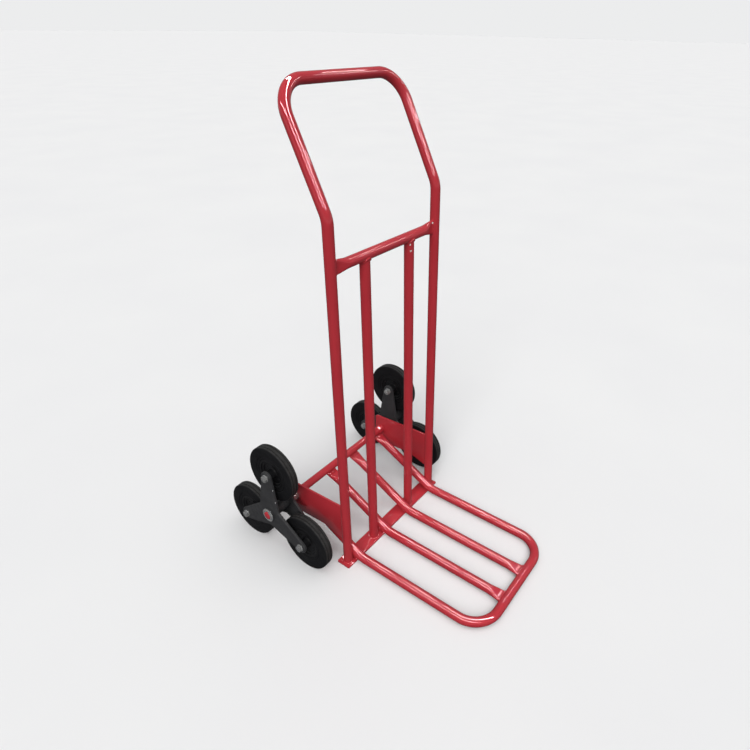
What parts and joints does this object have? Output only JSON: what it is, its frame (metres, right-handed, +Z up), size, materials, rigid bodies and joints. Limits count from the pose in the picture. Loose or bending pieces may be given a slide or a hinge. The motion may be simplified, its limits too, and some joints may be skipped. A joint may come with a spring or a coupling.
{
  "type": "stair climbing hand truck",
  "caption": "Tubular steel hand truck with a folded-back handle, an open tube nose and a turning star of wheels on each end of its axle for climbing stairs.",
  "frame": {"origin": "on the floor, in the middle of the overall width and depth", "axes": "+X to the truck's right along the axle, -Y towards the nose, +Z up"},
  "size_m": [0.594, 0.8008, 1.2219],
  "materials": {
    "red_paint": "glossy crimson paint over welded steel tube, with small chips",
    "star_paint": "satin charcoal paint on pressed steel",
    "tyre_rubber": "matt black solid rubber with moulded rings",
    "rim_paint": "black paint on pressed steel",
    "zinc": "bright zinc plate",
    "bush_plastic": "dark moulded plastic"
  },
  "bodies": {
    "frame": {"handle_frame": "red_paint", "crossbar": "red_paint", "left_bar": "red_paint", "right_bar": "red_paint", "base_plate": "red_paint", "nose_outer_tube": "red_paint", "left_nose_tube": "red_paint", "right_nose_tube": "red_paint", "left_bracket": "red_paint", "right_bracket": "red_paint", "axle_bar": "red_paint", "left_axle_spacer": "zinc", "right_axle_spacer": "zinc", "left_end_washer": "zinc", "right_end_washer": "zinc", "left_snap_ring": "zinc", "right_snap_ring": "zinc"},
    "left_star": {"left_outer_star_plate": "star_paint", "left_inner_star_plate": "star_paint", "left_hub_sleeve": "star_paint", "left_hub_bushes": "bush_plastic", "left_wheel_bolts": "zinc", "left_bolt_washers": "zinc", "left_wheel_nuts": "zinc", "left_wheel_spindles": "zinc"},
    "right_star": {"right_outer_star_plate": "star_paint", "right_inner_star_plate": "star_paint", "right_hub_sleeve": "star_paint", "right_hub_bushes": "bush_plastic", "right_wheel_bolts": "zinc", "right_bolt_washers": "zinc", "right_wheel_nuts": "zinc", "right_wheel_spindles": "zinc"},
    "left_top_wheel": {"left_top_tyre": "tyre_rubber", "left_top_rims": "rim_paint", "left_top_rivets": "rim_paint", "left_top_bush": "bush_plastic"},
    "left_rear_wheel": {"left_rear_tyre": "tyre_rubber", "left_rear_rims": "rim_paint", "left_rear_rivets": "rim_paint", "left_rear_bush": "bush_plastic"},
    "left_front_wheel": {"left_front_tyre": "tyre_rubber", "left_front_rims": "rim_paint", "left_front_rivets": "rim_paint", "left_front_bush": "bush_plastic"},
    "right_top_wheel": {"right_top_tyre": "tyre_rubber", "right_top_rims": "rim_paint", "right_top_rivets": "rim_paint", "right_top_bush": "bush_plastic"},
    "right_rear_wheel": {"right_rear_tyre": "tyre_rubber", "right_rear_rims": "rim_paint", "right_rear_rivets": "rim_paint", "right_rear_bush": "bush_plastic"},
    "right_front_wheel": {"right_front_tyre": "tyre_rubber", "right_front_rims": "rim_paint", "right_front_rivets": "rim_paint", "right_front_bush": "bush_plastic"}
  },
  "joints": [
    {"name": "left_star_spin", "type": "hinge", "parent": "frame", "child": "left_star", "pos_m": [-0.255, 0.21467, 0.141], "axis": [1, 0, 0], "continuous": true},
    {"name": "right_star_spin", "type": "hinge", "parent": "frame", "child": "right_star", "pos_m": [0.255, 0.21467, 0.141], "axis": [1, 0, 0], "continuous": true},
    {"name": "left_top_wheel_spin", "type": "hinge", "parent": "left_star", "child": "left_top_wheel", "pos_m": [-0.255, 0.21467, 0.263], "axis": [1, 0, 0], "continuous": true},
    {"name": "left_rear_wheel_spin", "type": "hinge", "parent": "left_star", "child": "left_rear_wheel", "pos_m": [-0.255, 0.32033, 0.08], "axis": [1, 0, 0], "continuous": true},
    {"name": "left_front_wheel_spin", "type": "hinge", "parent": "left_star", "child": "left_front_wheel", "pos_m": [-0.255, 0.10902, 0.08], "axis": [1, 0, 0], "continuous": true},
    {"name": "right_top_wheel_spin", "type": "hinge", "parent": "right_star", "child": "right_top_wheel", "pos_m": [0.255, 0.21467, 0.263], "axis": [1, 0, 0], "continuous": true},
    {"name": "right_rear_wheel_spin", "type": "hinge", "parent": "right_star", "child": "right_rear_wheel", "pos_m": [0.255, 0.32033, 0.08], "axis": [1, 0, 0], "continuous": true},
    {"name": "right_front_wheel_spin", "type": "hinge", "parent": "right_star", "child": "right_front_wheel", "pos_m": [0.255, 0.10902, 0.08], "axis": [1, 0, 0], "continuous": true}
  ]
}
